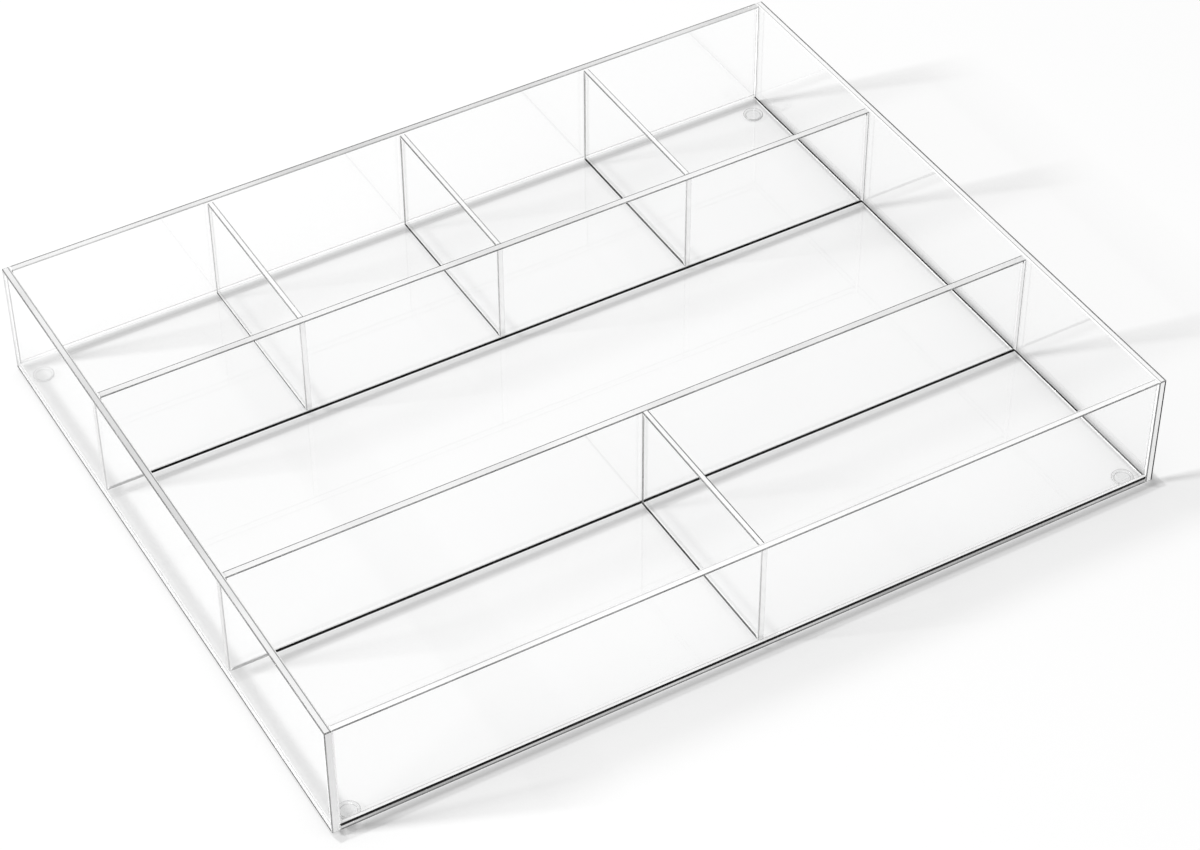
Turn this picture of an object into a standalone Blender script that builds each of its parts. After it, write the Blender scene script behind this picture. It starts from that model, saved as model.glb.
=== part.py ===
"""Clear acrylic drawer organizer: an open tray of flat sheets, cemented edge to face, on round bumpers.

Four small compartments lie along the back, one full-width compartment lies in the middle and two wide
ones lie along the front. The side walls run the whole depth and height. The base lies between them, and
the front and back walls and all the dividers stand on the base. X runs along the front, +Y points to the
back and +Z is up. The origin lies under the middle of the tray, on the surface that the bumpers rest on.
"""

import math
from dataclasses import dataclass

import bmesh
import bpy

MM = 0.001

# Overall sizes. The wall height runs from the tray's underside to its rim.
TRAY_WIDTH = 343 * MM
TRAY_DEPTH = 275 * MM
WALL_HEIGHT = 50 * MM

# Sheet thicknesses.
WALL_THICKNESS = 3 * MM
BASE_THICKNESS = 3 * MM
LONG_DIVIDER_THICKNESS = 3 * MM
SHORT_DIVIDER_THICKNESS = 2.5 * MM

# Layout of the compartments. What the two rows leave of the depth is the middle compartment.
REAR_ROW_DEPTH = 79.5 * MM
FRONT_ROW_DEPTH = 79.5 * MM
REAR_COMPARTMENTS = 4
FRONT_COMPARTMENTS = 2
RIM_TO_DIVIDER_TOP = 0.8 * MM

# Joints and edges. The cement lies in the gap between a sheet's edge and the face that it meets.
CEMENT_GAP = 0.3 * MM
POLISHED_EDGE_RADIUS = 0.4 * MM
POLISHED_EDGE_SEGMENTS = 2

# Bumpers: round pads with a flat adhesive face above and a rounded edge below.
FOOT_DIAMETER = 8.5 * MM
FOOT_FLAT_DIAMETER = 5.8 * MM
FOOT_HEIGHT = 1.6 * MM
FOOT_SIDE_HEIGHT = 0.4 * MM
FOOT_INSET_SIDE = 9.3 * MM
FOOT_INSET_FRONT = 7.7 * MM
FOOT_INSET_BACK = 10.6 * MM
FOOT_TURN_STEPS = 32
FOOT_ROUND_STEPS = 6
AXIS_MERGE_DISTANCE = 0.001 * MM

COLLECTION_NAME = "drawer_organizer"


@dataclass(frozen=True)
class Span:
    """A stretch along one axis.

    Args:
        low: Where the stretch starts, in metres.
        high: Where the stretch ends, in metres.
    """

    low: float
    high: float

    @property
    def size(self):
        """The length of the stretch."""
        return self.high - self.low

    @property
    def middle(self):
        """The point halfway along the stretch."""
        return (self.low + self.high) / 2

    def shortened(self, low_gap=0, high_gap=0):
        """Returns the stretch with a gap left open at either end."""
        return Span(self.low + low_gap, self.high - high_gap)


# Heights above the surface that the tray stands on.
UNDERSIDE = FOOT_HEIGHT
FLOOR_TOP = UNDERSIDE + BASE_THICKNESS
RIM = UNDERSIDE + WALL_HEIGHT
FULL_HEIGHT = Span(UNDERSIDE, RIM)
BASE_HEIGHT = Span(UNDERSIDE, FLOOR_TOP)
END_WALL_HEIGHT = Span(FLOOR_TOP + CEMENT_GAP, RIM)
DIVIDER_HEIGHT = Span(FLOOR_TOP + CEMENT_GAP, RIM - RIM_TO_DIVIDER_TOP)

# Stretches along X, from the left to the right.
OUTER_X = Span(-TRAY_WIDTH / 2, TRAY_WIDTH / 2)
LEFT_WALL_X = Span(OUTER_X.low, OUTER_X.low + WALL_THICKNESS)
RIGHT_WALL_X = Span(OUTER_X.high - WALL_THICKNESS, OUTER_X.high)
INNER_X = Span(LEFT_WALL_X.high, RIGHT_WALL_X.low)
CEMENTED_X = INNER_X.shortened(CEMENT_GAP, CEMENT_GAP)

# Stretches along Y, from the front to the back.
OUTER_Y = Span(-TRAY_DEPTH / 2, TRAY_DEPTH / 2)
FRONT_WALL_Y = Span(OUTER_Y.low, OUTER_Y.low + WALL_THICKNESS)
BACK_WALL_Y = Span(OUTER_Y.high - WALL_THICKNESS, OUTER_Y.high)
FRONT_ROW_Y = Span(FRONT_WALL_Y.high, FRONT_WALL_Y.high + FRONT_ROW_DEPTH)
REAR_ROW_Y = Span(BACK_WALL_Y.low - REAR_ROW_DEPTH, BACK_WALL_Y.low)
FRONT_LONG_DIVIDER_Y = Span(FRONT_ROW_Y.high, FRONT_ROW_Y.high + LONG_DIVIDER_THICKNESS)
REAR_LONG_DIVIDER_Y = Span(REAR_ROW_Y.low - LONG_DIVIDER_THICKNESS, REAR_ROW_Y.low)


def clear_scene():
    """Removes every object that the scene starts with."""
    for leftover in list(bpy.data.objects):
        bpy.data.objects.remove(leftover, do_unlink=True)


def make_material(name, colour, roughness, transmission, ior):
    """Makes a see-through plastic.

    Args:
        name: The material's name.
        colour: Its linear red, green and blue.
        roughness: How far its surface blurs a reflection, from 0 to 1.
        transmission: How much of the light goes through it, from 0 to 1.
        ior: Its index of refraction.

    Returns:
        The new material.
    """
    material = bpy.data.materials.new(name)
    material.use_nodes = True
    material.diffuse_color = (*colour, 1)
    shader = material.node_tree.nodes["Principled BSDF"]
    shader.inputs["Base Color"].default_value = (*colour, 1)
    shader.inputs["Metallic"].default_value = 0
    shader.inputs["Roughness"].default_value = roughness
    shader.inputs["Transmission Weight"].default_value = transmission
    shader.inputs["IOR"].default_value = ior
    return material


def add_object(name, mesh, location, material, collection, parent):
    """Puts a mesh in the scene as a named object that follows the tray's empty."""
    mesh.materials.append(material)
    piece = bpy.data.objects.new(name, mesh)
    piece.location = location
    piece.parent = parent
    collection.objects.link(piece)
    return piece


def add_sheet(name, x, y, z, material, collection, parent):
    """Adds one flat acrylic sheet with polished edges.

    Args:
        name: The object's name.
        x: The Span that the sheet fills from left to right.
        y: The Span that it fills from front to back.
        z: The Span that it fills upwards.
        material: The sheet's material.
        collection: The collection that holds the tray.
        parent: The tray's empty.
    """
    box = bmesh.new()
    bmesh.ops.create_cube(box, size=1)
    bmesh.ops.scale(box, vec=(x.size, y.size, z.size), verts=box.verts)
    mesh = bpy.data.meshes.new(name)
    box.to_mesh(mesh)
    box.free()
    sheet = add_object(name, mesh, (x.middle, y.middle, z.middle), material, collection, parent)
    polish = sheet.modifiers.new("Polished edges", "BEVEL")
    polish.width = POLISHED_EDGE_RADIUS
    polish.segments = POLISHED_EDGE_SEGMENTS


def divider_spans(compartments):
    """Shares the inner width among equal compartments.

    Args:
        compartments: How many compartments the row holds.

    Returns:
        The Span along X of each short divider of the row, from left to right.
    """
    dividers = compartments - 1
    clear_width = (INNER_X.size - dividers * SHORT_DIVIDER_THICKNESS) / compartments
    pitch = clear_width + SHORT_DIVIDER_THICKNESS
    starts = [INNER_X.low + clear_width + index * pitch for index in range(dividers)]
    return [Span(start, start + SHORT_DIVIDER_THICKNESS) for start in starts]


def foot_profile():
    """Returns the bumper's half outline as (radius, height) points, from its top centre to its bottom one."""
    top = FOOT_HEIGHT - CEMENT_GAP
    radius = FOOT_DIAMETER / 2
    flat_radius = FOOT_FLAT_DIAMETER / 2
    round_height = top - FOOT_SIDE_HEIGHT
    points = [(0, top), (radius, top)]
    for step in range(FOOT_ROUND_STEPS + 1):
        angle = math.radians(90) * step / FOOT_ROUND_STEPS
        across = flat_radius + (radius - flat_radius) * math.cos(angle)
        points.append((across, round_height * (1 - math.sin(angle))))
    points.append((0, 0))
    return points


def add_foot(name, x, y, material, collection, parent):
    """Adds one round bumper, turned from its profile, with its flat face on the surface below.

    Args:
        name: The object's name.
        x: Where the bumper's axis lies from left to right.
        y: Where the bumper's axis lies from front to back.
        material: The bumper's material.
        collection: The collection that holds the tray.
        parent: The tray's empty.
    """
    outline = bmesh.new()
    corners = [outline.verts.new((radius, 0, height)) for radius, height in foot_profile()]
    for upper, lower in zip(corners, corners[1:]):
        outline.edges.new((upper, lower))
    mesh = bpy.data.meshes.new(name)
    outline.to_mesh(mesh)
    outline.free()
    foot = add_object(name, mesh, (x, y, 0), material, collection, parent)
    turn = foot.modifiers.new("Turned", "SCREW")
    turn.steps = FOOT_TURN_STEPS
    turn.render_steps = FOOT_TURN_STEPS
    turn.use_merge_vertices = True
    turn.merge_threshold = AXIS_MERGE_DISTANCE


def add_shell(material, collection, parent):
    """Adds the base and the four outer walls."""
    common = (material, collection, parent)
    add_sheet("base_panel", CEMENTED_X, OUTER_Y, BASE_HEIGHT, *common)
    add_sheet("left_wall", LEFT_WALL_X, OUTER_Y, FULL_HEIGHT, *common)
    add_sheet("right_wall", RIGHT_WALL_X, OUTER_Y, FULL_HEIGHT, *common)
    add_sheet("front_wall", CEMENTED_X, FRONT_WALL_Y, END_WALL_HEIGHT, *common)
    add_sheet("back_wall", CEMENTED_X, BACK_WALL_Y, END_WALL_HEIGHT, *common)


def add_dividers(material, collection, parent):
    """Adds the two full-width dividers and the short ones that cut the front and rear rows."""
    common = (material, collection, parent)
    add_sheet("rear_long_divider", CEMENTED_X, REAR_LONG_DIVIDER_Y, DIVIDER_HEIGHT, *common)
    add_sheet("front_long_divider", CEMENTED_X, FRONT_LONG_DIVIDER_Y, DIVIDER_HEIGHT, *common)
    for row, span_y, compartments in (
        ("rear", REAR_ROW_Y, REAR_COMPARTMENTS),
        ("front", FRONT_ROW_Y, FRONT_COMPARTMENTS),
    ):
        cemented_y = span_y.shortened(CEMENT_GAP, CEMENT_GAP)
        for number, span_x in enumerate(divider_spans(compartments), start=1):
            add_sheet(f"{row}_short_divider_{number}", span_x, cemented_y, DIVIDER_HEIGHT, *common)


def add_feet(material, collection, parent):
    """Adds a bumper near each corner of the base."""
    front_y = OUTER_Y.low + FOOT_INSET_FRONT
    back_y = OUTER_Y.high - FOOT_INSET_BACK
    left_x = OUTER_X.low + FOOT_INSET_SIDE
    right_x = OUTER_X.high - FOOT_INSET_SIDE
    for depth_name, y in (("front", front_y), ("rear", back_y)):
        for side_name, x in (("left", left_x), ("right", right_x)):
            add_foot(f"foot_{depth_name}_{side_name}", x, y, material, collection, parent)


def main():
    """Builds the whole tray."""
    clear_scene()
    collection = bpy.data.collections.new(COLLECTION_NAME)
    bpy.context.scene.collection.children.link(collection)
    tray = bpy.data.objects.new(f"{COLLECTION_NAME}_origin", None)
    collection.objects.link(tray)
    acrylic = make_material("clear_acrylic", (0.98, 0.99, 0.99), 0.02, 1, 1.49)
    bumper = make_material("clear_bumper", (0.93, 0.94, 0.94), 0.15, 0.9, 1.5)
    add_shell(acrylic, collection, tray)
    add_dividers(acrylic, collection, tray)
    add_feet(bumper, collection, tray)


if __name__ == "__main__":
    main()
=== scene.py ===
"""Looks of a clear acrylic drawer organizer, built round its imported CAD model.

Every sheet and bumper of the CAD model is stood for by a piece of the same size and
place, with polished edges, cemented joints and its own finishes.  The studio is a
white floor under a large soft lamp and a small one overhead, as the photograph's
shadows show.
"""

import logging
import math
from dataclasses import dataclass, replace
from enum import Enum
from typing import Any, Optional, Union

import bpy
import numpy as np
from mathutils import Matrix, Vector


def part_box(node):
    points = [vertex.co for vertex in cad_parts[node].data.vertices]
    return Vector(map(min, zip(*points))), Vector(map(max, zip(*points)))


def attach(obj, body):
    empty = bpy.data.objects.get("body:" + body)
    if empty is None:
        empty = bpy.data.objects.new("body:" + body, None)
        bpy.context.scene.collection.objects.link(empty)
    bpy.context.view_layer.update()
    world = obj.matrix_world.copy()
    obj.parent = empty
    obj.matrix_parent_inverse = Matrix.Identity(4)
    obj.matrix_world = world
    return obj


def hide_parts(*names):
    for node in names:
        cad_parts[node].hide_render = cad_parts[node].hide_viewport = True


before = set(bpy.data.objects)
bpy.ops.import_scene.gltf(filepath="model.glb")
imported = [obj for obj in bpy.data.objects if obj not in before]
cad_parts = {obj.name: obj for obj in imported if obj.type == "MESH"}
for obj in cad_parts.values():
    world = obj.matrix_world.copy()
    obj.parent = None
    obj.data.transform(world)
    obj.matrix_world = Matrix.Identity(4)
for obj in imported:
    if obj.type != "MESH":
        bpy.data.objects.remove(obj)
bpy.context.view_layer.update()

LOG = logging.getLogger("organizer")
MM = 0.001
QUARTER_TURN = math.pi / 2
FULL_TURN = 2 * math.pi

Colour = tuple[float, float, float, float]


class SheetFace(Enum):
    """The kinds of surface on a cut sheet, in the order of its material slots.

    The broad faces are FACE, and a narrow side is an OPEN_EDGE, an edge given painted
    light to look lighter than the lamps make it, a RIM on top, or CEMENTED at an end or
    a foot.  An ARRIS is the rounded border between two sides, and a FILLED_ARRIS lies
    in the cement.  The lines are arrises and bands tinted black (FOOT), grey (RIM) or
    pale (SOFT): painted dark reflection such as a polished edge shows, and along a
    cemented foot the joint's own dark line as well.
    """

    FACE = 0
    OPEN_EDGE = 1
    ARRIS = 2
    CEMENTED_END = 3
    CEMENTED_FOOT = 4
    FOOT_LINE = 5
    FILLED_ARRIS = 6
    RIM_LINE = 7
    RIM = 8
    BRIGHT_EDGE = 9
    SOFT_LINE = 10


class BumperFace(Enum):
    """The kinds of surface on a bumper and its film, in the order of their slots."""

    CLEAR = 0
    RING = 1


class Signal:
    """A shader socket on which Python's +, -, * and ** add Math nodes."""

    def __init__(
        self, graph: "Graph", socket: Optional[bpy.types.NodeSocket]
    ) -> None:
        """Keeps the socket and the graph that new nodes go into."""
        self.graph = graph
        self.socket = socket

    def _math(self, operation: str, first: Any, second: Any) -> "Signal":
        """Adds one Math node.

        Args:
            operation: the Math node's operation.
            first: the first number or signal.
            second: the second number or signal.

        Returns:
            The node's value.
        """
        return self.graph.node(
            "ShaderNodeMath", {"operation": operation}, {0: first, 1: second}
        )

    def __add__(self, other: Any) -> "Signal":
        """This signal plus another."""
        return self._math("ADD", self, other)

    def __radd__(self, other: Any) -> "Signal":
        """A number plus this signal."""
        return self._math("ADD", other, self)

    def __sub__(self, other: Any) -> "Signal":
        """This signal minus another."""
        return self._math("SUBTRACT", self, other)

    def __rsub__(self, other: Any) -> "Signal":
        """A number minus this signal."""
        return self._math("SUBTRACT", other, self)

    def __mul__(self, other: Any) -> "Signal":
        """This signal times another."""
        return self._math("MULTIPLY", self, other)

    def __rmul__(self, other: Any) -> "Signal":
        """A number times this signal."""
        return self._math("MULTIPLY", other, self)

    def __pow__(self, other: Any) -> "Signal":
        """This signal raised to a power."""
        return self._math("POWER", self, other)

    def __rpow__(self, other: Any) -> "Signal":
        """A number raised to this signal."""
        return self._math("POWER", other, self)

    def most(self, other: Any) -> "Signal":
        """The larger of this signal and another."""
        return self._math("MAXIMUM", self, other)


class Graph:
    """The node tree of one material or world."""

    def __init__(self, tree: bpy.types.NodeTree) -> None:
        """Takes a tree and empties it."""
        self.tree = tree
        self.tree.nodes.clear()

    def node(
        self,
        kind: str,
        settings: Optional[dict[str, Any]] = None,
        inputs: Optional[dict[Union[int, str], Any]] = None,
        output: Union[int, str] = 0,
    ) -> Signal:
        """Adds one node of any type.

        Args:
            kind: the node's Blender type.
            settings: its properties, set before its sockets.
            inputs: a value or a Signal for each input socket, by number or name.
            output: the output that the result carries.

        Returns:
            The chosen output as a Signal, without a socket where the node has none.
        """
        made = self.tree.nodes.new(kind)
        for name, value in (settings or {}).items():
            setattr(made, name, value)
        for name, value in (inputs or {}).items():
            if isinstance(value, Signal):
                self.tree.links.new(value.socket, made.inputs[name])
            else:
                made.inputs[name].default_value = value
        return Signal(self, made.outputs[output] if made.outputs else None)

    def noise(
        self, place: Signal, scale: float, detail: float, roughness: float = 0.5
    ) -> Signal:
        """Adds a cloudy pattern.

        Args:
            place: where each point lies on the piece.
            scale: how many clouds there are to a metre.
            detail: how many finer layers it has.
            roughness: the strength of each layer against the one before.

        Returns:
            The pattern, from 0 to 1.
        """
        return self.node(
            "ShaderNodeTexNoise",
            None,
            {"Vector": place, "Scale": scale, "Detail": detail, "Roughness": roughness},
        )

    def mix_colour(self, share: Any, first: Any, second: Any) -> Signal:
        """Mixes two colours.

        Args:
            share: how much of the second colour shows.
            first: the colour at a share of 0.
            second: the colour at a share of 1.

        Returns:
            The mixed colour.
        """
        # A Mix node's colours are its inputs 6 and 7 and its output 2.
        inputs = {0: share, 6: first, 7: second}
        return self.node("ShaderNodeMix", {"data_type": "RGBA"}, inputs, output=2)

    def mix_shader(self, share: Any, first: Signal, second: Signal) -> Signal:
        """Mixes two shaders, the second in the share that is given."""
        return self.node("ShaderNodeMixShader", None, {0: share, 1: first, 2: second})

    def see_through(self, share: float) -> Signal:
        """Adds a shader that lets a share of the light straight through."""
        colour = (share, share, share, 1.0)
        return self.node("ShaderNodeBsdfTransparent", None, {"Color": colour})

    def spread(
        self, value: Any, levels: tuple[float, float], results: tuple[float, float]
    ) -> Signal:
        """Carries a value smoothly from one range to another and holds it there.

        Args:
            value: the signal to carry over.
            levels: the values that become the first and the last result.
            results: the first and the last result.

        Returns:
            The carried value.
        """
        inputs = dict(enumerate((value, *levels, *results)))
        smooth = {"interpolation_type": "SMOOTHSTEP"}
        return self.node("ShaderNodeMapRange", smooth, inputs)


@dataclass(frozen=True)
class AcrylicFinish:
    """A surface of clear acrylic, which bends light for the eye and passes the lamps'.

    Attributes:
        name: the material's name.
        tint: the colour of its clearer places, as light that has crossed a sheet.
        deep_tint: the colour of its greyer places.
        clearness: the share of light that goes through. The rest scatters, as it does
            on a sawn edge.
        lamp_pass: the share of a lamp's light that it passes when met squarely.
        patch_scale: how many patches of grey there are to a metre.
        roughness: the blur of its cleanest and of its most handled places.
        smudge_scale: how many smudges there are to a metre.
        ripple_scale: how many ripples there are to a metre.
        ripple_height: the height of the ripples, in metres.
        ior: the index of refraction.
        glancing_pass: how much of lamp_pass is left when it is met edge on.
        glow: painted light, an emission that makes the surface look lighter than the
        lamps light it.
        shine: the strength of its mirror images, with 0.5 for plain acrylic.
        patch_levels: the noise at which a patch starts to be grey and is wholly so.
        smudge_levels: the noise at which a smudge starts and is at its strongest.
        slant_power: how near to edge on the passed light falls off.
    """

    name: str
    tint: Colour
    deep_tint: Colour
    clearness: float
    lamp_pass: float
    patch_scale: float = 40.0
    roughness: tuple[float, float] = (0.1, 0.2)
    smudge_scale: float = 300.0
    ripple_scale: float = 60.0
    ripple_height: float = 0.01 * MM
    ior: float = 1.49
    glancing_pass: float = 0.45
    glow: float = 0.0
    shine: float = 0.5
    patch_levels: tuple[float, float] = (0.35, 0.65)
    smudge_levels: tuple[float, float] = (0.45, 0.75)
    slant_power: float = 5.0

    def material(self) -> bpy.types.Material:
        """Builds the node tree: patches of tint, smudges of blur, faint ripples.

        The eye sees glass.  A ray that lights the floor or looks for a lamp meets plain
        transparency instead, which passes less light the more it is met edge on.

        Returns:
            The material.
        """
        made = bpy.data.materials.new(self.name)
        made.use_nodes = True
        graph = Graph(made.node_tree)
        place = graph.node("ShaderNodeTexCoord", output="Object")
        patches = graph.noise(place, self.patch_scale, detail=2.0)
        greyness = graph.spread(patches, self.patch_levels, (0.0, 1.0))
        tint = graph.mix_colour(greyness, self.tint, self.deep_tint)
        smudges = graph.noise(place, self.smudge_scale, detail=5.0, roughness=0.6)
        blur = graph.spread(smudges, self.smudge_levels, self.roughness)
        ripples = graph.noise(place, self.ripple_scale, detail=1.0)
        normal = graph.node(
            "ShaderNodeBump",
            None,
            {"Strength": 1.0, "Distance": self.ripple_height, "Height": ripples},
        )
        glass = graph.node(
            "ShaderNodeBsdfPrincipled",
            None,
            {
                "Base Color": tint,
                "Roughness": blur,
                "Normal": normal,
                "IOR": self.ior,
                "Transmission Weight": self.clearness,
                # Painted light: the emission lightens the surface beyond what the lamps
                # give it.
                "Specular IOR Level": self.shine,
                "Emission Color": tint,
                "Emission Strength": self.glow,
            },
        )
        square = graph.see_through(self.lamp_pass)
        glancing = graph.see_through(self.lamp_pass * self.glancing_pass)
        slant = graph.node("ShaderNodeLayerWeight", None, {"Blend": 0.5}, "Facing")
        passed = graph.mix_shader(slant**self.slant_power, square, glancing)
        by_floor = graph.node("ShaderNodeLightPath", output="Is Diffuse Ray")
        by_lamp = graph.node("ShaderNodeLightPath", output="Is Shadow Ray")
        lit = graph.mix_shader(by_floor, glass, passed)
        shown = graph.mix_shader(by_lamp, lit, passed)
        graph.node("ShaderNodeOutputMaterial", None, {"Surface": shown})
        return made


RED_SHARE = 0.999
POLISHED = (0.15, 0.3)
SATIN = (0.3, 0.5)


def grey(level: float) -> Colour:
    """A grey, a little cooler than neutral."""
    return (level * RED_SHARE, level, level, 1.0)


FACE = AcrylicFinish(
    "clear_sheet_face",
    tint=grey(0.996),
    deep_tint=grey(0.988),
    clearness=1.0,
    lamp_pass=0.99,
    patch_scale=9.0,
    roughness=(0.0, 0.02),
    smudge_scale=60.0,
    ripple_scale=14.0,
    glancing_pass=0.88,
)
# The cemented foot is white with emission: painted light that makes it a pale band.
FOOT = AcrylicFinish(
    "cemented_foot",
    tint=grey(1.0),
    deep_tint=grey(0.94),
    clearness=0.0,
    lamp_pass=0.45,
    roughness=SATIN,
    glow=0.2,
)
# Black: the dark cement line along a joint, and painted dark reflection where it marks
# a free arris.
FOOT_LINE = AcrylicFinish(
    "foot_line",
    tint=grey(0.004),
    deep_tint=grey(0.012),
    clearness=0.0,
    lamp_pass=0.8,
    roughness=SATIN,
    shine=0.1,
)
RIM = AcrylicFinish(
    "polished_rim",
    tint=grey(0.93),
    deep_tint=grey(0.7),
    clearness=0.05,
    lamp_pass=0.6,
    patch_scale=14.0,
    roughness=POLISHED,
)
# A lighter copy of the rim with faint emission: painted light on the tops of the right
# and front walls and the short dividers.
PAINTED_LIGHT_RIM = replace(
    RIM,
    name="bright_rim",
    tint=grey(1.0),
    deep_tint=grey(0.94),
    lamp_pass=0.85,
    glow=0.05,
)
# A grey line tinted onto an arris: painted dark reflection, standing in for the dark a
# polished edge shows by refraction.
RIM_LINE = AcrylicFinish(
    "rim_line",
    tint=grey(0.4),
    deep_tint=grey(0.22),
    clearness=0.1,
    lamp_pass=0.6,
    patch_scale=12.0,
)
SHEET_FINISHES = {
    SheetFace.FACE: FACE,
    # White with emission: painted light on open edges that the lamps leave in shade.
    SheetFace.OPEN_EDGE: AcrylicFinish(
        "polished_edge",
        tint=grey(1.0),
        deep_tint=grey(0.92),
        clearness=0.05,
        lamp_pass=0.4,
        roughness=POLISHED,
        glow=0.12,
    ),
    # A dark grey arris: painted dark reflection of a polished edge.
    SheetFace.ARRIS: AcrylicFinish(
        "polished_arris",
        tint=grey(0.3),
        deep_tint=grey(0.18),
        clearness=0.35,
        lamp_pass=0.6,
        patch_scale=30.0,
    ),
    # White with strong emission: painted light on the end strips.
    SheetFace.CEMENTED_END: AcrylicFinish(
        "cemented_end",
        tint=grey(1.0),
        deep_tint=grey(0.95),
        clearness=0.05,
        lamp_pass=0.15,
        roughness=(0.05, 0.15),
        glow=0.29,
    ),
    SheetFace.CEMENTED_FOOT: FOOT,
    SheetFace.FOOT_LINE: FOOT_LINE,
    # Emission: painted light on the arrises beside joints.
    SheetFace.FILLED_ARRIS: AcrylicFinish(
        "filled_arris",
        tint=grey(1.0),
        deep_tint=grey(0.95),
        clearness=0.3,
        lamp_pass=0.6,
        glow=0.1,
    ),
    SheetFace.RIM_LINE: RIM_LINE,
    SheetFace.RIM: RIM,
    # The right wall's front and bottom edges: white with strong emission, painted light
    # on strips that face away from the lamps.
    SheetFace.BRIGHT_EDGE: replace(
        RIM, name="bright_edge", tint=grey(1.0), deep_tint=grey(0.9), glow=0.28
    ),
    # A pale grey line: painted dark reflection, fainter.
    SheetFace.SOFT_LINE: replace(
        RIM_LINE, name="soft_line", tint=grey(0.75), deep_tint=grey(0.5)
    ),
}
LONG_FINISHES = {
    **SHEET_FINISHES,
    # A lighter copy of the rim: painted light on the long dividers' tops.
    SheetFace.RIM: replace(
        RIM, name="divider_rim", tint=grey(0.98), deep_tint=grey(0.82)
    ),
}
FAR_FINISHES = {
    **SHEET_FINISHES,
    SheetFace.RIM: PAINTED_LIGHT_RIM,
    SheetFace.FACE: replace(
        FACE, name="far_wall_face", lamp_pass=0.97, glancing_pass=0.4
    ),
}
SHORT_FINISHES = {
    **SHEET_FINISHES,
    SheetFace.RIM: PAINTED_LIGHT_RIM,
    SheetFace.CEMENTED_FOOT: replace(FOOT, name="clear_foot", lamp_pass=0.8),
    SheetFace.FOOT_LINE: replace(FOOT_LINE, name="fine_foot_line", lamp_pass=0.97),
}
BASE_FINISHES = {
    **SHEET_FINISHES,
    SheetFace.FACE: replace(
        FACE, name="clear_base_face", lamp_pass=1.0, glancing_pass=0.97
    ),
    # Emission: painted light on the base's edge strip.
    SheetFace.OPEN_EDGE: AcrylicFinish(
        "base_edge",
        tint=grey(1.0),
        deep_tint=grey(0.6),
        clearness=0.05,
        lamp_pass=0.8,
        patch_scale=20.0,
        roughness=POLISHED,
        glow=0.1,
    ),
    # Black along the front joint, and painted dark reflection on the base's free
    # arrises.
    SheetFace.FOOT_LINE: replace(
        FOOT_LINE,
        name="base_line",
        deep_tint=grey(0.02),
        lamp_pass=0.92,
        patch_scale=16.0,
    ),
}
BUMPER_FINISHES = {
    BumperFace.CLEAR: AcrylicFinish(
        "clear_bumper",
        tint=grey(0.995),
        deep_tint=grey(0.98),
        clearness=1.0,
        lamp_pass=0.99,
        patch_scale=60.0,
        roughness=(0.03, 0.1),
        ripple_scale=100.0,
        ior=1.5,
    ),
    # A grey ring on the bumper's curved side and the film's rim: painted dark
    # refraction of a clear curved edge.
    BumperFace.RING: AcrylicFinish(
        "bumper_ring",
        tint=grey(0.75),
        deep_tint=grey(0.6),
        clearness=0.1,
        lamp_pass=0.9,
        patch_scale=200.0,
        roughness=(0.2, 0.3),
        ripple_scale=100.0,
    ),
}
FILM_FINISHES = {
    **BUMPER_FINISHES,
    BumperFace.CLEAR: AcrylicFinish(
        "adhesive_film",
        tint=grey(0.99),
        deep_tint=grey(0.965),
        clearness=1.0,
        lamp_pass=0.99,
        patch_scale=200.0,
        roughness=(0.08, 0.14),
        smudge_scale=500.0,
        ripple_scale=200.0,
        ior=1.46,
    ),
}


def make_materials(*groups: dict[Any, AcrylicFinish]) -> list[list[bpy.types.Material]]:
    """Builds each finish once and lists each group's materials in its kinds' order.

    Args:
        groups: the finish of each kind of surface.

    Returns:
        A list of materials for each group.
    """
    finishes = {finish for group in groups for finish in group.values()}
    by_name = sorted(finishes, key=lambda finish: finish.name)
    made = {finish: finish.material() for finish in by_name}
    return [
        [made[group[kind]] for kind in sorted(group, key=lambda kind: kind.value)]
        for group in groups
    ]


def seen_by_eye(graph: Graph) -> Signal:
    """Tells the rays that the eye follows, also by way of gloss and glass.

    Args:
        graph: the tree that the nodes go into.

    Returns:
        1 for such a ray and 0 for one that lights a surface.
    """
    camera, gloss, glass = (
        graph.node("ShaderNodeLightPath", output="Is %s Ray" % kind)
        for kind in ("Camera", "Glossy", "Transmission")
    )
    return camera.most(gloss).most(glass)


@dataclass(frozen=True)
class FloorFinish:
    """A pale studio floor: matte, lit by the lamps, and topped up to white for the eye.

    Attributes:
        name: the material's name.
        colour: its matte colour.
        top_up: the light that it adds where it is seen, which makes open floor white.
    """

    name: str = "studio_floor"
    colour: Colour = (0.95, 0.95, 0.95, 1.0)
    top_up: float = 0.07

    def material(self) -> bpy.types.Material:
        """Builds the node tree.

        Returns:
            The material.
        """
        made = bpy.data.materials.new(self.name)
        made.use_nodes = True
        graph = Graph(made.node_tree)
        matte = graph.node("ShaderNodeBsdfDiffuse", None, {"Color": self.colour})
        top_up = seen_by_eye(graph) * self.top_up
        glow = graph.node("ShaderNodeEmission", None, {"Strength": top_up})
        both = graph.node("ShaderNodeAddShader", None, {0: matte, 1: glow})
        graph.node("ShaderNodeOutputMaterial", None, {"Surface": both})
        return made


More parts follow.
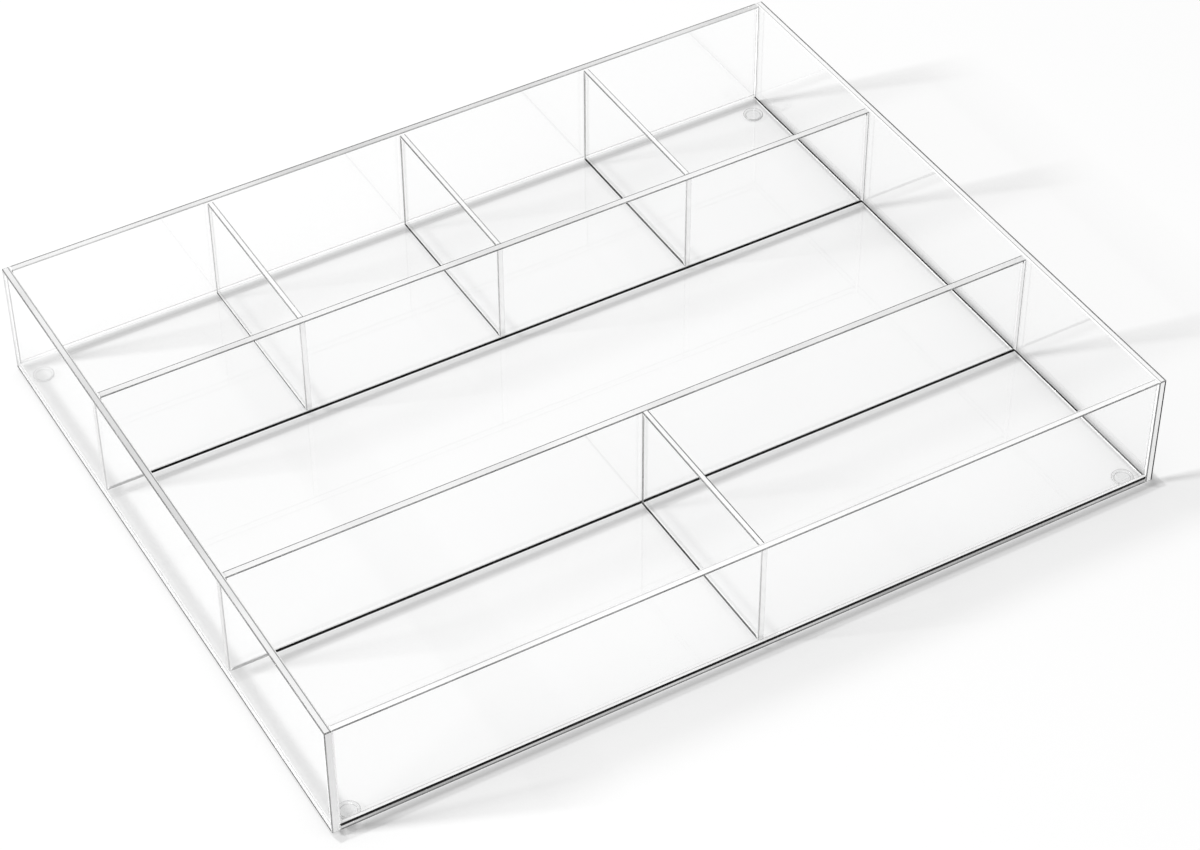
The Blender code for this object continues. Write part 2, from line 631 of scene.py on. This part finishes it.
@dataclass(frozen=True)
class Surface:
    """A mesh worked out as arrays.

    Attributes:
        points: the vertices, in metres.
        normals: the true normal at each vertex.
        quads: four vertex numbers a row, seen from outside anticlockwise.
        triangles: three vertex numbers a row, the same way round.
        quad_kinds: the material slot of each quad.
        triangle_kinds: the material slot of each triangle.
    """

    points: np.ndarray
    normals: np.ndarray
    quads: np.ndarray
    triangles: np.ndarray
    quad_kinds: np.ndarray
    triangle_kinds: np.ndarray

    def build(self, name: str, finishes: list[bpy.types.Material]) -> bpy.types.Object:
        """Puts the arrays into a new object at the origin.

        Args:
            name: the object's name.
            finishes: the materials, in slot order.

        Returns:
            The object.
        """
        mesh = bpy.data.meshes.new(name)
        corners = np.concatenate([self.quads.ravel(), self.triangles.ravel()])
        counts = np.repeat([4, 3], [len(self.quads), len(self.triangles)])
        starts = np.cumsum(counts) - counts
        kinds = np.concatenate([self.quad_kinds, self.triangle_kinds])
        mesh.vertices.add(len(self.points))
        mesh.vertices.foreach_set("co", self.points.astype(np.float32).ravel())
        mesh.loops.add(len(corners))
        mesh.loops.foreach_set("vertex_index", corners.astype(np.int32))
        mesh.polygons.add(len(counts))
        mesh.polygons.foreach_set("loop_start", starts.astype(np.int32))
        mesh.polygons.foreach_set("material_index", kinds.astype(np.int32))
        mesh.update(calc_edges=True)
        mesh.shade_smooth()
        normals = self.normals.astype(np.float32).tolist()
        mesh.normals_split_custom_set_from_vertices(normals)
        for finish in finishes:
            mesh.materials.append(finish)
        mesh.validate()
        made = bpy.data.objects.new(name, mesh)
        bpy.context.scene.collection.objects.link(made)
        return made


def ring_quads(number: np.ndarray) -> np.ndarray:
    """Joins rings of points into faces.

    A face has a point and the next one round on its ring, and the same two on the ring
    after it.

    Args:
        number: the points' numbers, a row for each ring.

    Returns:
        The four point numbers of each face, a row for each face.
    """
    turned = np.roll(number, -1, axis=1)
    faces = np.stack([number[:-1], turned[:-1], turned[1:], number[1:]], axis=-1)
    return faces.reshape(-1, 4)


@dataclass(frozen=True)
class SheetForm:
    """How every sheet's edges are worked.

    Attributes:
        radius: the radius of every arris.
        steps: the number of faces across an arris.
        face_band: the width of the band that runs round each broad face.
        edge_band: the width of the two bands that run along each edge.
    """

    radius: float = 0.4 * MM
    steps: int = 4
    face_band: float = 1.0 * MM
    edge_band: float = 0.15 * MM


class SheetMarks:
    """Which kind of surface each side, arris and band of a sheet has.

    A side is named "-x", the arris between two sides "-x+z", and the band on the side
    "-x" beside the side "+z" is named "-x/+z".
    """

    def __init__(self, marked: dict[str, SheetFace]) -> None:
        """Keeps the named places, and leaves the rest to the usual kinds."""
        self.marked = marked

    @property
    def joints(self) -> list[str]:
        """The sides that are cemented to another sheet."""
        cemented = (SheetFace.CEMENTED_END, SheetFace.CEMENTED_FOOT)
        return [name for name, kind in self.marked.items() if kind in cemented]

    def side(self, name: str) -> SheetFace:
        """The kind of a narrow side: the rim on top, and an open edge elsewhere."""
        usual = SheetFace.RIM if name == "+z" else SheetFace.OPEN_EDGE
        return self.marked.get(name, usual)

    def arris(self, first: str, second: str) -> SheetFace:
        """Finds the kind of the arris between two sides.

        Args:
            first: one side.
            second: the other.

        Returns:
            The marked kind, or a filled arris beside a joint, or an open arris.
        """
        name = "".join(sorted((first, second), key=lambda side: side[1]))
        beside_joint = first in self.joints or second in self.joints
        usual = SheetFace.FILLED_ARRIS if beside_joint else SheetFace.ARRIS
        return self.marked.get(name, usual)

    def band(self, on: str, beside: str, usual: SheetFace) -> SheetFace:
        """The kind of the band on one side beside another."""
        return self.marked.get("%s/%s" % (on, beside), usual)


def _sheet_grid(
    size: np.ndarray, middle: np.ndarray, form: SheetForm
) -> tuple[np.ndarray, np.ndarray]:
    """Works out the points of a flat sheet, all rounded by one radius.

    The sheet's thinnest side is t and the others are a and b.  One parameter, u, turns
    through a full circle and stops for the straight sides: it gives a direction in the
    a-b plane and the inner corner it belongs to.  The other, v, turns from straight
    down to straight up.  A point is its inner corner plus the radius times the
    direction (cos v cos u, cos v sin u, sin v), so the normal there is that same
    direction.  The bands are extra rows where v stands still: on a broad face the inner
    corner moves in towards the middle, and on an edge it moves along t.

    Args:
        size: the sheet's size along a, b and t.
        middle: its middle along them.
        form: how the edges are worked.

    Returns:
        The points and their directions along a, b and t, a row for each v.
    """
    inner = size / 2 - form.radius
    quarter = np.linspace(0.0, QUARTER_TURN, form.steps + 1)
    signs = np.array([[1, 1], [-1, 1], [-1, -1], [1, -1]])
    u = (np.arange(len(signs))[:, None] * QUARTER_TURN + quarter[None, :]).ravel()
    sign_a, sign_b = np.repeat(signs, len(quarter), axis=0).T
    down, up = [-QUARTER_TURN], [QUARTER_TURN]
    v = np.concatenate([down, quarter - QUARTER_TURN, [0.0, 0.0], quarter, up])
    low_t, high_t = -inner[2], inner[2]
    along_t = np.concatenate(
        [
            np.full(len(quarter) + 1, low_t),
            [low_t + form.edge_band, high_t - form.edge_band],
            np.full(len(quarter) + 1, high_t),
        ]
    )
    inset = np.zeros(len(v))
    inset[[0, -1]] = form.face_band
    direction = np.stack(
        [
            np.cos(v)[:, None] * np.cos(u)[None, :],
            np.cos(v)[:, None] * np.sin(u)[None, :],
            np.repeat(np.sin(v)[:, None], len(u), axis=1),
        ],
        axis=-1,
    )
    centre = np.stack(
        [
            sign_a[None, :] * (inner[0] - inset[:, None]),
            sign_b[None, :] * (inner[1] - inset[:, None]),
            np.repeat(along_t[:, None], len(u), axis=1),
        ],
        axis=-1,
    )
    return middle + centre + form.radius * direction, direction


def _sheet_kinds(
    strips: int, around: int, axes: list[int], steps: int, marks: SheetMarks
) -> np.ndarray:
    """Sorts the faces of a sheet's grid into kinds.

    Args:
        strips: the number of rows of faces.
        around: the number of faces in a row.
        axes: the numbers of the axes a, b and t.
        steps: the number of faces across an arris.
        marks: the kind of each side, arris and band.

    Returns:
        The kinds, one row for each row of faces.
    """
    a, b, t = ("xyz"[axis] for axis in axes)
    outline = ["+" + b, "-" + a, "-" + b, "+" + a]
    kinds = np.full((strips, around), SheetFace.ARRIS.value)
    flat = steps + 2
    for turn, side in enumerate(outline):
        straight = turn * (steps + 1) + steps
        arc = slice(turn * (steps + 1), straight)
        kinds[steps + 1 : flat + 2, arc] = marks.arris(outline[turn - 1], side).value
        kinds[flat, straight] = marks.side(side).value
        for face, border, arris, edge in (
            ("-" + t, 0, slice(1, steps + 1), flat - 1),
            ("+" + t, -1, slice(flat + 2, -1), flat + 1),
        ):
            kinds[border, straight] = marks.band(face, side, SheetFace.FACE).value
            kinds[arris, straight] = marks.arris(face, side).value
            kinds[edge, straight] = marks.band(side, face, marks.side(side)).value
    return kinds


def cut_sheet(
    low: np.ndarray, high: np.ndarray, form: SheetForm, marks: SheetMarks
) -> Surface:
    """Works out a flat sheet: the grid of _sheet_grid, closed by two flat caps.

    Where v is straight down or up, all the points of a corner are one.  A face that
    turns round a corner is then a triangle, or nothing between two such rows.

    Args:
        low: the lowest corner.
        high: the highest corner.
        form: how the edges are worked.
        marks: the kind of each side, arris and band.

    Returns:
        The surface, with its faces sorted into kinds.
    """
    size = high - low
    thin = int(np.argmin(size))
    axes = [(thin + 1) % 3, (thin + 2) % 3, thin]
    points, direction = _sheet_grid(size[axes], ((low + high) / 2)[axes], form)
    rows, around = points.shape[:2]
    number = np.arange(rows * around).reshape(rows, around)
    first = np.arange(0, around, form.steps + 1)
    for row in (0, 1, rows - 2, rows - 1):
        number[row] = np.repeat(number[row][first], form.steps + 1)
    faces = ring_quads(number)
    kinds = _sheet_kinds(rows - 1, around, axes, form.steps, marks).ravel()
    low_fan = faces[:, 0] == faces[:, 1]
    high_fan = faces[:, 2] == faces[:, 3]
    whole = ~(low_fan | high_fan)
    caps = np.stack([number[0][first][::-1], number[-1][first]])
    quads = np.concatenate([faces[whole], caps])
    triangles = np.concatenate(
        [
            faces[low_fan & ~high_fan][:, [0, 2, 3]],
            faces[high_fan & ~low_fan][:, [0, 1, 2]],
        ]
    )
    used, renumbered = np.unique(
        np.concatenate([quads.ravel(), triangles.ravel()]), return_inverse=True
    )
    back = np.argsort(axes)
    return Surface(
        points=points.reshape(-1, 3)[used][:, back],
        normals=direction.reshape(-1, 3)[used][:, back],
        quads=renumbered[: quads.size].reshape(-1, 4),
        triangles=renumbered[quads.size :].reshape(-1, 3),
        quad_kinds=np.concatenate([kinds[whole], [SheetFace.FACE.value] * len(caps)]),
        triangle_kinds=np.full(len(triangles), SheetFace.FILLED_ARRIS.value),
    )


def turned_form(
    profile: np.ndarray,
    normals: np.ndarray,
    kinds: np.ndarray,
    centre: np.ndarray,
    steps: int,
) -> Surface:
    """Works out a form turned about an upright axis.

    A point is (x0 + r cos u, y0 + r sin u, z), where (r, z) runs along the profile from
    the axis underneath, up the outside and back to the axis on top.

    Args:
        profile: (r, z) rows, in metres. The first and last lie on the axis.
        normals: the outward (r, z) direction at each row.
        kinds: the material slot between each row and the next.
        centre: the axis's x and y.
        steps: the number of faces round the axis.

    Returns:
        The surface.
    """
    u = np.linspace(0.0, FULL_TURN, steps, endpoint=False)
    ring, ring_normals = profile[1:-1], normals[1:-1]

    def sweep(rows: np.ndarray) -> np.ndarray:
        """Turns (r, z) rows about the axis."""
        return np.stack(
            [
                rows[:, None, 0] * np.cos(u)[None, :],
                rows[:, None, 0] * np.sin(u)[None, :],
                np.repeat(rows[:, 1][:, None], steps, axis=1),
            ],
            axis=-1,
        ).reshape(-1, 3)

    ends = np.array([[0, 0, profile[0, 1]], [0, 0, profile[-1, 1]]])
    points = np.concatenate([sweep(ring), ends]) + np.array([*centre, 0.0])
    directions = np.concatenate([sweep(ring_normals), [[0, 0, -1.0], [0, 0, 1.0]]])
    number = np.arange(len(ring) * steps).reshape(len(ring), steps)
    under, over = np.full(steps, number.size), np.full(steps, number.size + 1)
    bottom = np.stack([under, np.roll(number[0], -1), number[0]], axis=-1)
    top = np.stack([over, number[-1], np.roll(number[-1], -1)], axis=-1)
    return Surface(
        points=points,
        normals=directions,
        quads=ring_quads(number),
        triangles=np.concatenate([bottom, top]),
        quad_kinds=np.repeat(kinds[1:-1], steps),
        triangle_kinds=np.repeat(kinds[[0, -1]], steps),
    )


@dataclass(frozen=True)
class SheetKit:
    """What several cut sheets share.

    Attributes:
        form: how the edges are worked.
        cad_gap: the gap that the CAD model leaves at a cemented joint.
        joint_line: the air line that is left in a cemented joint.
        slot: the record's material slot; not used.
    """

    form: SheetForm = SheetForm()
    cad_gap: float = 0.3 * MM
    joint_line: float = 0.04 * MM
    slot: str = "clear_acrylic"

    def make(
        self,
        node: str,
        marked: dict[str, SheetFace],
        finishes: list[bpy.types.Material],
    ) -> bpy.types.Object:
        """Builds the sheet that stands for one CAD node.

        Args:
            node: the CAD node's name.
            marked: the kinds of the places that don't have the usual ones.
            finishes: the materials, in the order of SheetFace.

        Returns:
            The piece.
        """
        low, high = (np.array(corner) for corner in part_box(node))
        reach = self.cad_gap - self.joint_line
        marks = SheetMarks(marked)
        for side in marks.joints:
            axis = "xyz".index(side[1])
            if side[0] == "-":
                low[axis] -= reach
            else:
                high[axis] += reach
        surface = cut_sheet(low, high, self.form, marks)
        piece = surface.build(node + "_sheet", finishes)
        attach(piece, "root")
        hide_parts(node)
        return piece


@dataclass
class OuterShell:
    """The base and the four walls.

    Attributes:
        finishes: the left and back walls' materials, in the order of SheetFace.
        far_finishes: the right and front walls' materials, in the same order.
        base_finishes: the base's materials, in the same order.
        kit: what the walls share.
        base_kit: what the base has instead, with wider bands along its edges.
    """

    finishes: list[bpy.types.Material]
    far_finishes: list[bpy.types.Material]
    base_finishes: list[bpy.types.Material]
    kit: SheetKit = SheetKit(SheetForm(face_band=0.8 * MM, edge_band=0.4 * MM))
    base_kit: SheetKit = SheetKit(SheetForm(face_band=0.5 * MM, edge_band=0.55 * MM))

    def build(self) -> list[bpy.types.Object]:
        """Builds the five sheets.

        Returns:
            The pieces.
        """
        # The marks place painted dark reflection on free arrises and bands, the dark
        # joint line along feet, and painted light on the right wall's front and bottom
        # edges.
        end, foot = SheetFace.CEMENTED_END, SheetFace.CEMENTED_FOOT
        dark, rim, soft = SheetFace.FOOT_LINE, SheetFace.RIM_LINE, SheetFace.SOFT_LINE
        filled, painted_light_side = SheetFace.FILLED_ARRIS, SheetFace.BRIGHT_EDGE
        ends = {"-x": end, "+x": end}
        base = {
            **ends,
            "-y-z": dark,
            "-y/-z": rim,
            "+y-z": dark,
            "-y+z": dark,
            "-y/+z": dark,
            "+y+z": filled,
            "+x+z": dark,
            "+x/+z": dark,
            "+z/+x": dark,
        }
        left = {
            "+x-y": filled,
            "+x+y": filled,
            "+x-z": filled,
            "-x-z": dark,
            "-x/-z": dark,
            "+x+z": filled,
            "+z/+x": rim,
        }
        right = {
            # Painted light on the front and bottom edges.
            "-y": painted_light_side,
            "-z": painted_light_side,
            "-x-z": filled,
            "+x-z": dark,
            "-x+z": filled,
            "+z/-x": soft,
            "+x+z": dark,
            "+z/+x": rim,
            "-y/+x": dark,
            "+x-y": dark,
            "-x-y": rim,
        }
        front = {**ends, "-z": foot, "-y-z": dark, "+y+z": filled, "+z/+y": soft}
        back = {
            **ends,
            "-z": foot,
            "-y+z": soft,
            "+y+z": dark,
            "+z/+y": rim,
            "+x-y": dark,
            "-x-y": rim,
        }
        return [
            self.base_kit.make("base_panel", base, self.base_finishes),
            self.kit.make("left_wall", left, self.finishes),
            self.kit.make("right_wall", right, self.far_finishes),
            self.kit.make("front_wall", front, self.far_finishes),
            self.kit.make("back_wall", back, self.finishes),
        ]


@dataclass
class Dividers:
    """The long and the short dividers inside the shell.

    Attributes:
        long_finishes: the long dividers' materials, in the order of SheetFace.
        short_finishes: the short dividers' materials, in the same order.
        long_nodes: the CAD nodes of the dividers that run from side to side, each with
            the height of the dark line along its foot.
        short_nodes: those of the rear dividers that run from front to back.
        front_node: that of the one in front.
    """

    long_finishes: list[bpy.types.Material]
    short_finishes: list[bpy.types.Material]
    long_nodes: tuple[tuple[str, float], ...] = (
        ("rear_long_divider", 1.2 * MM),
        ("front_long_divider", 1.3 * MM),
    )
    short_nodes: tuple[tuple[str, float], ...] = (
        ("rear_short_divider_1", 0.8 * MM),
        ("rear_short_divider_2", 1.2 * MM),
        ("rear_short_divider_3", 1.3 * MM),
    )
    front_node: tuple[str, float] = ("front_short_divider_1", 1.3 * MM)

    def build(self) -> list[bpy.types.Object]:
        """Builds the six dividers.

        Returns:
            The pieces.
        """
        # The marks place painted dark reflection on free arrises and bands, and the
        # dark joint line along each foot.
        end, foot = SheetFace.CEMENTED_END, SheetFace.CEMENTED_FOOT
        dark, rim, soft = SheetFace.FOOT_LINE, SheetFace.RIM_LINE, SheetFace.SOFT_LINE
        across = {
            "-x": soft,
            "+x": end,
            "-z": foot,
            "-y-z": dark,
            "-y/-z": dark,
            "+z/+y": rim,
            "+y+z": dark,
            "-x-y": rim,
            "-x+y": rim,
            "-x+z": SheetFace.FILLED_ARRIS,
            "+x-y": dark,
            "-y/+x": end,
            "+x+y": rim,
        }
        along = {
            "-y": end,
            "+y": end,
            "-z": foot,
            "-x-z": dark,
            "-x/-z": dark,
            "+z/+x": rim,
            "+x+z": soft,
            "-x+y": dark,
            "-x/+y": rim,
            "-x-y": soft,
        }
        front = {**along, "+x+z": dark}
        return [
            SheetKit(SheetForm(face_band=height)).make(node, marked, finishes)
            for nodes, marked, finishes in (
                (self.long_nodes, across, self.long_finishes),
                (self.short_nodes, along, self.short_finishes),
                ((self.front_node,), front, self.short_finishes),
            )
            for node, height in nodes
        ]


@dataclass
class Bumpers:
    """The four clear bumpers and their adhesive films.

    Attributes:
        finishes: the bumpers' materials, in the order of BumperFace.
        film_finishes: the films' materials, in the same order.
        nodes: the CAD nodes.
        flat_radius: the radius of the flat that a bumper rests on.
        side_height: the height of its upright side.
        top_round: the radius of its upper arris.
        film_inset: how far a film stays inside its bumper.
        film_air: the air left on each side of a film.
        cad_gap: the gap that the CAD model leaves for a film.
        steps: the faces round a bumper.
        side_steps: the faces up a bumper's curved side.
        arris_steps: the faces across its upper arris.
        inner_ring: how many rows of faces next to the flat look like a ring.
        outer_ring: how many rows of faces next to the top look like a ring.
    """

    finishes: list[bpy.types.Material]
    film_finishes: list[bpy.types.Material]
    nodes: tuple[str, ...] = (
        "foot_front_left",
        "foot_front_right",
        "foot_rear_left",
        "foot_rear_right",
    )
    flat_radius: float = 2.9 * MM
    side_height: float = 0.4 * MM
    top_round: float = 0.1 * MM
    film_inset: float = 0.2 * MM
    film_air: float = 0.03 * MM
    cad_gap: float = 0.3 * MM
    steps: int = 64
    side_steps: int = 14
    arris_steps: int = 4
    inner_ring: int = 3
    outer_ring: int = 7

    def _dome(self, low: np.ndarray, high: np.ndarray) -> Surface:
        """Works out one bumper: a flat under a quarter-round side and a flat top.

        The side's curve is a quarter of an ellipse, from the flat's rim out to the full
        radius, and its normal is the ellipse's own.

        Args:
            low: the bumper's lowest corner.
            high: the bumper's highest corner.

        Returns:
            The surface.
        """
        radius = (high[0] - low[0]) / 2
        reach = radius - self.flat_radius
        rise = high[2] - low[2] - self.side_height
        t = np.linspace(0.0, QUARTER_TURN, self.side_steps + 1)
        out, up = self.flat_radius + reach * np.sin(t), low[2] + rise * (1 - np.cos(t))
        side_normals = np.stack([np.sin(t) / reach, -np.cos(t) / rise], axis=-1)
        side_normals /= np.linalg.norm(side_normals, axis=1, keepdims=True)
        q = np.linspace(0.0, QUARTER_TURN, self.arris_steps + 1)
        turn = np.stack([np.cos(q), np.sin(q)], axis=-1)
        inner = np.array([radius - self.top_round, high[2] - self.top_round])
        profile = np.concatenate(
            [
                [[0, low[2]]],
                np.stack([out, up], axis=-1),
                turn * self.top_round + inner,
                [[0, high[2]]],
            ]
        )
        normals = np.concatenate([[[0, -1.0]], side_normals, turn, [[0, 1.0]]])
        kinds = np.full(len(profile) - 1, BumperFace.CLEAR.value)
        kinds[1 : 1 + self.inner_ring] = BumperFace.RING.value
        kinds[-1 - self.outer_ring : -1] = BumperFace.RING.value
        centre = (low[:2] + high[:2]) / 2
        return turned_form(profile, normals, kinds, centre, self.steps)

    def _film(self, low: np.ndarray, high: np.ndarray) -> Surface:
        """Works out the adhesive film over one bumper: a disc with a half-round rim.

        Args:
            low: the bumper's lowest corner.
            high: the bumper's highest corner.

        Returns:
            The surface.
        """
        radius = (high[0] - low[0]) / 2 - self.film_inset
        bottom = high[2] + self.film_air
        half = (self.cad_gap - 2 * self.film_air) / 2
        q = np.linspace(-QUARTER_TURN, QUARTER_TURN, 2 * self.arris_steps + 1)
        turn = np.stack([np.cos(q), np.sin(q)], axis=-1)
        rim = turn * half + [radius - half, bottom + half]
        profile = np.concatenate([[[0, bottom]], rim, [[0, bottom + 2 * half]]])
        normals = np.concatenate([[[0, -1.0]], turn, [[0, 1.0]]])
        kinds = np.full(len(profile) - 1, BumperFace.RING.value)
        kinds[[0, -1]] = BumperFace.CLEAR.value
        centre = (low[:2] + high[:2]) / 2
        return turned_form(profile, normals, kinds, centre, self.steps)

    def build(self) -> list[bpy.types.Object]:
        """Builds the bumpers and the films.

        Returns:
            The pieces.
        """
        pieces = []
        for node in self.nodes:
            low, high = (np.array(corner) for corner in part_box(node))
            dome = self._dome(low, high).build(node + "_bumper", self.finishes)
            film = self._film(low, high).build(node + "_film", self.film_finishes)
            for piece in (dome, film):
                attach(piece, "root")
                pieces.append(piece)
            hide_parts(node)
        return pieces


def put_in_studio(
    name: str, data: bpy.types.ID, axes: tuple[np.ndarray, ...], place: np.ndarray
) -> bpy.types.Object:
    """Adds a lamp or the camera to the scene.

    Args:
        name: the object's name.
        data: its light or camera.
        axes: where its right, its top and its back point.
        place: its place, in metres.

    Returns:
        The object.
    """
    made = bpy.data.objects.new(name, data)
    turned = Matrix(np.stack(axes, axis=-1).tolist()).to_4x4()
    turned.translation = place.tolist()
    made.matrix_world = turned
    bpy.context.scene.collection.objects.link(made)
    return made


@dataclass(frozen=True)
class Lamp:
    """A square lamp that faces the tray.

    Attributes:
        name: the lamp's name.
        towards: from the tray towards the lamp.
        distance: how far its middle is, in metres.
        size: the length of its sides, in metres.
        power: its power in watts.
    """

    name: str
    towards: tuple[float, float, float]
    distance: float
    size: float
    power: float

    def build(self) -> None:
        """Hangs the lamp, square to the line from the tray's middle."""
        light = bpy.data.lights.new(self.name, "AREA")
        light.shape = "SQUARE"
        light.size = self.size
        light.energy = self.power
        back = np.array(self.towards) / np.linalg.norm(self.towards)
        level = np.cross([0.0, 0.0, 1.0], back)
        level /= np.linalg.norm(level)
        axes = (level, np.cross(back, level), back)
        put_in_studio(self.name, light, axes, back * self.distance)


@dataclass
class Studio:
    """The floor, the surroundings, the lamps and the camera.

    Attributes:
        floor_radius: the radius of the floor, in metres.
        floor_rings: how many rings of faces the floor has.
        floor_steps: how many faces a ring has.
        lamps: a large soft one low on the left, a little behind, and a small one
            overhead that draws the shadows right under the sheets.
        fill: the strength of the light that comes evenly from all round.
        camera_place: its place in millimetres, with its height over the base.
        camera_turn: yaw, pitch and roll in degrees.
        lens: the focal length in pixels of a 1200 pixel wide picture.
        eye_point: where the camera's axis meets the picture, in pixels.
        picture: the picture's width and height.
        sensor: the width of the camera's sensor, in millimetres.
        sight: the nearest and the farthest that the camera sees, in metres.
        underside: the height of the base's underside over the floor, in millimetres.
    """

    floor_radius: float = 16.0
    floor_rings: int = 48
    floor_steps: int = 96
    lamps: tuple[Lamp, ...] = (
        Lamp("soft_lamp", (-0.87, 0.25, 0.55), distance=8.0, size=1.2, power=470.0),
        Lamp("overhead_lamp", (-0.05, 0.05, 1.0), distance=6.0, size=0.08, power=90.0),
    )
    fill: float = 0.45
    camera_place: tuple[float, float, float] = (-456.673, -811.651, 859.489)
    camera_turn: tuple[float, float, float] = (27.680, 41.793, -1.813)
    lens: float = 3307.32
    eye_point: tuple[float, float] = (497.431, 370.681)
    picture: tuple[int, int] = (1200, 850)
    sensor: float = 36.0
    sight: tuple[float, float] = (0.05, 60.0)
    underside: float = 1.6

    def build(self) -> None:
        """Builds the floor, the surroundings, the lamps and the camera."""
        self._floor()
        self._surroundings()
        for lamp in self.lamps:
            lamp.build()
        self._camera()

    def _floor(self) -> None:
        """Builds the floor: a disc whose rings widen outwards.

        A point is (r cos u, r sin u, 0), with r growing as the square of the ring's
        number.
        """
        u = np.linspace(0.0, FULL_TURN, self.floor_steps, endpoint=False)
        ring = np.arange(1, self.floor_rings + 1) / self.floor_rings
        r = self.floor_radius * ring[:, None] ** 2
        grid = np.stack([r * np.cos(u), r * np.sin(u), 0 * r * u], axis=-1)
        points = np.concatenate([grid.reshape(-1, 3), [[0, 0, 0]]])
        number = np.arange(r.size * u.size).reshape(r.size, u.size)
        turned = np.roll(number, -1, axis=1)
        quads = np.stack([number[:-1], number[1:], turned[1:], turned[:-1]], axis=-1)
        middle = np.full(u.size, number.size)
        triangles = np.stack([middle, number[0], turned[0]], axis=-1)
        surface = Surface(
            points=points,
            normals=np.tile([0.0, 0.0, 1.0], (len(points), 1)),
            quads=quads.reshape(-1, 4),
            triangles=triangles,
            quad_kinds=np.zeros(quads.size // 4),
            triangle_kinds=np.zeros(len(triangles)),
        )
        floor = surface.build("studio_floor", [FloorFinish().material()])

    def _surroundings(self) -> None:
        """Builds the world: white to the eye and to glass, with an even fill."""
        world = bpy.data.worlds.new("studio_surroundings")
        world.use_nodes = True
        bpy.context.scene.world = world
        graph = Graph(world.node_tree)
        seen = seen_by_eye(graph)
        strength = seen + self.fill * (1 - seen)
        glow = graph.node("ShaderNodeBackground", None, {"Strength": strength})
        graph.node("ShaderNodeOutputWorld", None, {"Surface": glow})

    def _camera(self) -> None:
        """Places the camera by the turn, place and lens fitted to the photograph."""
        yaw, pitch, roll = (math.radians(angle) for angle in self.camera_turn)
        forward = np.array(
            [
                math.sin(yaw) * math.cos(pitch),
                math.cos(yaw) * math.cos(pitch),
                -math.sin(pitch),
            ]
        )
        right = np.array([math.cos(yaw), -math.sin(yaw), 0.0])
        up = np.cross(right, forward)
        rolled_right = math.cos(roll) * right + math.sin(roll) * up
        rolled_up = math.cos(roll) * up - math.sin(roll) * right
        eye = bpy.data.cameras.new("photo_camera")
        width, height = self.picture
        eye.sensor_width = self.sensor
        eye.lens = self.sensor * self.lens / width
        eye.shift_x = (width / 2 - self.eye_point[0]) / width
        eye.shift_y = (self.eye_point[1] - height / 2) / width
        eye.clip_start, eye.clip_end = self.sight
        place = (np.array(self.camera_place) + [0.0, 0.0, self.underside]) * MM
        bpy.context.scene.camera = put_in_studio(
            "photo_camera", eye, (rolled_right, rolled_up, -forward), place
        )


def set_render_depth(bounces: int = 32) -> None:
    """Lets light bounce often enough to run down the inside of a sheet.

    Args:
        bounces: the most bounces of each kind.
    """
    scene = bpy.context.scene
    scene.view_settings.view_transform = "Standard"
    scene.cycles.max_bounces = bounces
    scene.cycles.glossy_bounces = bounces
    scene.cycles.transmission_bounces = bounces
    scene.cycles.transparent_max_bounces = bounces


def main() -> None:
    """Builds the pieces in order, then the studio."""
    logging.basicConfig(level=logging.INFO, format="%(name)s: %(message)s")
    walls, far_walls, base, long_ones, short_ones, bumpers, films = make_materials(
        SHEET_FINISHES,
        FAR_FINISHES,
        BASE_FINISHES,
        LONG_FINISHES,
        SHORT_FINISHES,
        BUMPER_FINISHES,
        FILM_FINISHES,
    )
    assemblies = (
        OuterShell(walls, far_walls, base),
        Dividers(long_ones, short_ones),
        Bumpers(bumpers, films),
    )
    for assembly in assemblies:
        for piece in assembly.build():
            LOG.info("%s: %d faces", piece.name, len(piece.data.polygons))
    set_render_depth()
    Studio().build()


if __name__ == "__main__":
    main()
